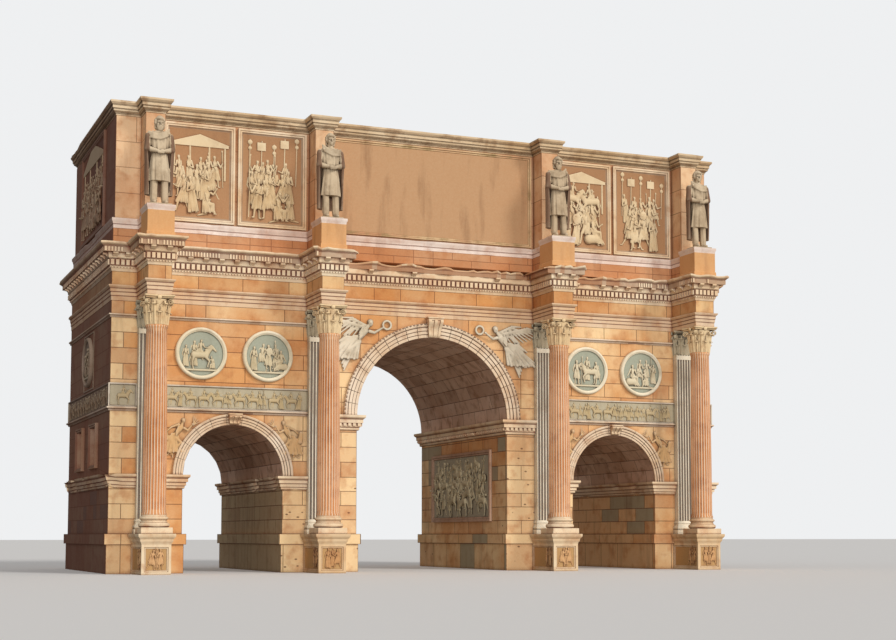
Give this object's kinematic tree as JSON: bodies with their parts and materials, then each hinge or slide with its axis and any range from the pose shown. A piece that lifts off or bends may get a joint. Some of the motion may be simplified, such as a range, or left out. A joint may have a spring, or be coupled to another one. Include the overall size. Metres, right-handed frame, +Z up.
{
  "type": "triumphal arch",
  "caption": "Masonry arch with a wide central passage between narrower side passages, free-standing columns, framed reliefs, and statues before a tall attic.",
  "frame": {"origin": "middle of the plan at ground level", "axes": "+Z up, +X along the width of the arch to the right of a person who faces its front, +Y through the passages from front to back"},
  "size_m": [26.9, 14.54, 17.8],
  "materials": {
    "ashlar": "weathered marble and travertine ashlar, orange ochre in the sun",
    "trim_stone": "dressed cream marble mouldings, stained",
    "pale_stone": "pale marble blocks and slabs",
    "relief_stone": "carved grey-green marble",
    "column_stone": "fluted warm yellow marble",
    "attic_stone": "smooth attic facing slabs",
    "statue_stone": "grey marble figures",
    "roof_stone": "weathered paving and cornice stone"
  },
  "bodies": {
    "root": {"pier_outer_left": "ashlar", "pier_inner_left": "ashlar", "pier_inner_right": "ashlar", "pier_outer_right": "ashlar", "arch_side_left": "ashlar", "arch_central": "ashlar", "arch_side_right": "ashlar", "frieze_course": "ashlar", "central_imposts": "trim_stone", "side_imposts": "trim_stone", "archivolts_central": "trim_stone", "archivolts_side": "trim_stone", "keystones": "trim_stone", "string_courses": "trim_stone", "blind_window_frames": "trim_stone", "pedestals_front": "trim_stone", "pedestals_back": "trim_stone", "column_bases_front": "trim_stone", "column_bases_back": "trim_stone", "capitals_front": "trim_stone", "capitals_back": "trim_stone", "architrave_course": "trim_stone", "cornice_course": "trim_stone", "entablature_blocks_front": "trim_stone", "entablature_blocks_back": "trim_stone", "roundels": "pale_stone", "pilasters_front": "pale_stone", "pilasters_back": "pale_stone", "attic_plinth": "pale_stone", "inscription_tablets": "pale_stone", "statue_pedestals": "pale_stone", "relief_friezes": "relief_stone", "passage_panels": "relief_stone", "attic_panels": "relief_stone", "column_shafts_front": "column_stone", "column_shafts_back": "column_stone", "attic_wall_front": "attic_stone", "attic_wall_back": "attic_stone", "attic_wall_left": "attic_stone", "attic_wall_right": "attic_stone", "attic_piers_front": "attic_stone", "attic_piers_back": "attic_stone", "statues_front": "statue_stone", "statues_back": "statue_stone", "attic_roof": "roof_stone"}
  },
  "joints": []
}
